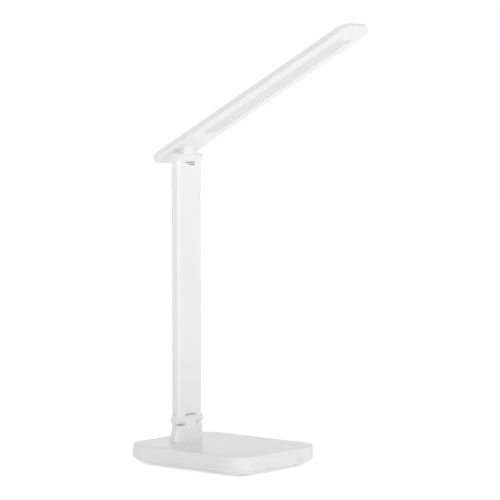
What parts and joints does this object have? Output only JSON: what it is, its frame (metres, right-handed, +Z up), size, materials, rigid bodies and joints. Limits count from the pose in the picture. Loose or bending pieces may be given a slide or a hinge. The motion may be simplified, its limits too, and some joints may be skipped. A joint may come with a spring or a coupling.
{
  "type": "folding led desk lamp",
  "caption": "Slim white folding desk lamp: flat rectangular base with a touch key, hinged flat arm and a long tilting head with a milky diffuser.",
  "frame": {"origin": "on the table, under the middle of the base, in the plane of the four feet", "axes": "+X forwards along the base, the way the head points; +Y to the lamp's left; +Z up along the arm"},
  "size_m": [0.2378, 0.119, 0.4136],
  "materials": {
    "casing": "moulded white ABS, satin to slightly glossy",
    "diffuser": "milky polystyrene sheet, fine matt grain",
    "rubber": "soft pale rubber, matt",
    "steel": "zinc plated",
    "board": "glass-fibre board with green solder resist",
    "component": "black moulded epoxy",
    "spring_wire": "phosphor bronze wire",
    "lead": "white PVC insulation",
    "washer": "black acetal",
    "light_guide": "clear acrylic",
    "reflector": "white polyester film",
    "led": "phosphor in clear silicone"
  },
  "bodies": {
    "base": {"base_bottom_cover": "casing", "base_top_cover": "casing", "counterweight_plate": "steel", "rubber_feet": "rubber", "base_screws": "steel", "control_board": "board", "board_parts": "component", "board_screws": "steel", "usb_socket_shell": "steel", "usb_socket_tongue": "component", "touch_board": "board", "touch_board_screws": "steel", "touch_spring": "spring_wire", "touch_lead": "lead", "base_lead": "lead", "neck": "casing", "neck_screws": "steel"},
    "arm": {"arm_front_shell": "casing", "arm_rear_cover": "casing", "arm_stiffener": "steel", "arm_lead": "lead", "lower_hinge_pin": "steel", "lower_hinge_nut": "steel", "lower_pivot_caps": "casing", "lower_friction_washers": "washer", "upper_hinge_pin": "steel", "upper_hinge_nut": "steel", "upper_pivot_caps": "casing", "upper_friction_washers": "washer"},
    "head": {"head_bracket": "casing", "bracket_plate": "steel", "bracket_screws": "steel", "head_top_shell": "casing", "head_bezel": "casing", "diffuser": "diffuser", "light_guide": "light_guide", "reflector_sheet": "reflector", "led_strips": "board", "leds": "led", "head_lead": "lead"}
  },
  "joints": [
    {"name": "lower_hinge", "type": "hinge", "parent": "base", "child": "arm", "pos_m": [-0.0455, 0, 0.04], "axis": [0, 1, 0], "range_deg": [-15, 90]},
    {"name": "upper_hinge", "type": "hinge", "parent": "arm", "child": "head", "pos_m": [-0.0455, 0, 0.2925], "axis": [0, 1, 0], "range_deg": [-62.8, 117.2]}
  ]
}
